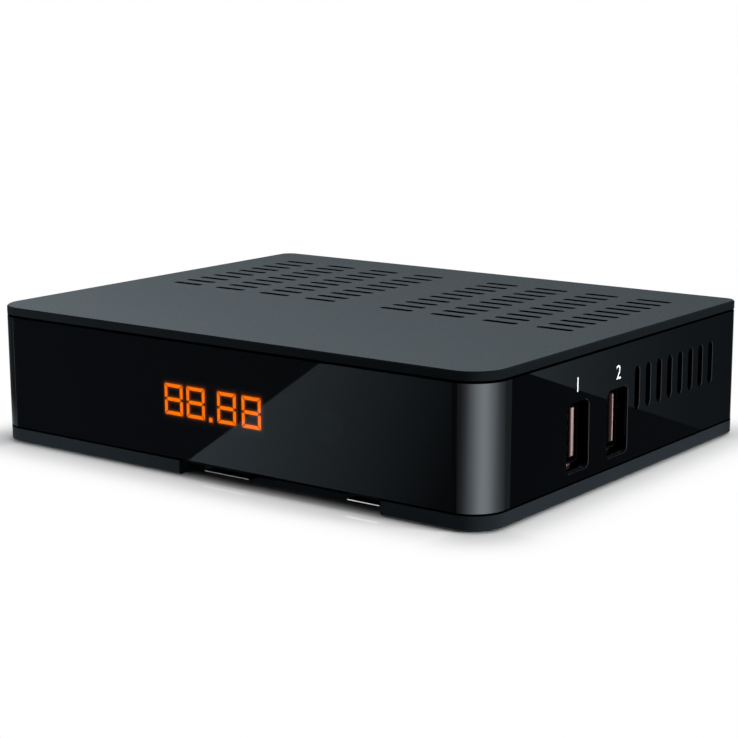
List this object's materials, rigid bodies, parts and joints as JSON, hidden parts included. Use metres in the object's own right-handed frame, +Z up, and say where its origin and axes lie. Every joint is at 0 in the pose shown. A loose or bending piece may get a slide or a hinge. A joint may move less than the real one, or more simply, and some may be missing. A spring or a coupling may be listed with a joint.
{
  "type": "satellite tv receiver",
  "caption": "Small satellite TV receiver with vented lid, gloss band, lit clock display, side USB sockets, card slot, rear sockets and a rocker switch.",
  "frame": {"origin": "bottom centre of the whole object's box, aerial socket included; the case's own centre is 4.5 mm towards the front", "axes": "+X to the right seen from the front, +Y towards the rear sockets, +Z up"},
  "size_m": [0.14, 0.119, 0.0327],
  "materials": {
    "matte_case": "fine matte grain",
    "gloss_case": "polished",
    "smoked_lens": "polished, dark smoked",
    "panel_metal": "satin paint",
    "foot_rubber": "matte",
    "screw_steel": "zinc plated",
    "board_green": "solder mask",
    "black_plastic": "moulded",
    "lit_segment": "lit from behind",
    "bright_metal": "nickel plated",
    "gold_contact": "gold flashed",
    "pale_plastic": "moulded",
    "chip_resin": "moulded resin",
    "heat_sink_metal": "extruded",
    "capacitor_sleeve": "shrink sleeve"
  },
  "bodies": {
    "case": {"aerial_contact": "gold_contact", "aerial_insulator": "pale_plastic", "aerial_nut": "bright_metal", "aerial_socket": "bright_metal", "aerial_washer": "bright_metal", "av_jack": "black_plastic", "base_tray": "matte_case", "board_screws": "screw_steel", "capacitors": "capacitor_sleeve", "card_contacts": "gold_contact", "card_reader_body": "black_plastic", "card_reader_plate": "bright_metal", "case_screws": "screw_steel", "crystal": "bright_metal", "display_board": "board_green", "display_body": "black_plastic", "display_header": "black_plastic", "display_screws": "screw_steel", "display_segments": "lit_segment", "flash_chip": "chip_resin", "front_lens": "smoked_lens", "gloss_band": "gloss_case", "hdmi_contacts": "gold_contact", "hdmi_shell": "bright_metal", "hdmi_tongue": "black_plastic", "heat_sink": "heat_sink_metal", "inductors": "chip_resin", "ir_extender_jack": "black_plastic", "ir_receiver": "black_plastic", "main_board": "board_green", "memory_chips": "chip_resin", "network_contacts": "gold_contact", "network_shield": "bright_metal", "network_socket": "black_plastic", "network_transformer": "chip_resin", "optical_body": "black_plastic", "optical_emitter": "black_plastic", "power_jack": "black_plastic", "power_pin": "bright_metal", "processor": "chip_resin", "rear_panel": "panel_metal", "regulator_chips": "chip_resin", "rubber_feet": "foot_rubber", "switch_body": "black_plastic", "switch_terminals": "bright_metal", "top_cover": "matte_case", "tuner_can": "bright_metal", "usb_contacts_front": "gold_contact", "usb_contacts_rear": "gold_contact", "usb_shell_front": "bright_metal", "usb_shell_rear": "bright_metal", "usb_tongue_front": "pale_plastic", "usb_tongue_rear": "pale_plastic"},
    "rocker": {"switch_rocker": "black_plastic"},
    "flap": {"optical_shutter": "black_plastic"}
  },
  "joints": [
    {"name": "rocker_tilt", "type": "hinge", "parent": "case", "child": "rocker", "pos_m": [0.054, 0.0465, 0.0165], "axis": [1, 0, 0], "range_deg": [0, 20]},
    {"name": "flap_swing", "type": "hinge", "parent": "case", "child": "flap", "pos_m": [0.031, 0.0457, 0.01465], "axis": [-1, 0, 0], "range_deg": [0, 80], "stiffness_Nm_per_rad": 0.00001, "springref_deg": -17.19}
  ]
}
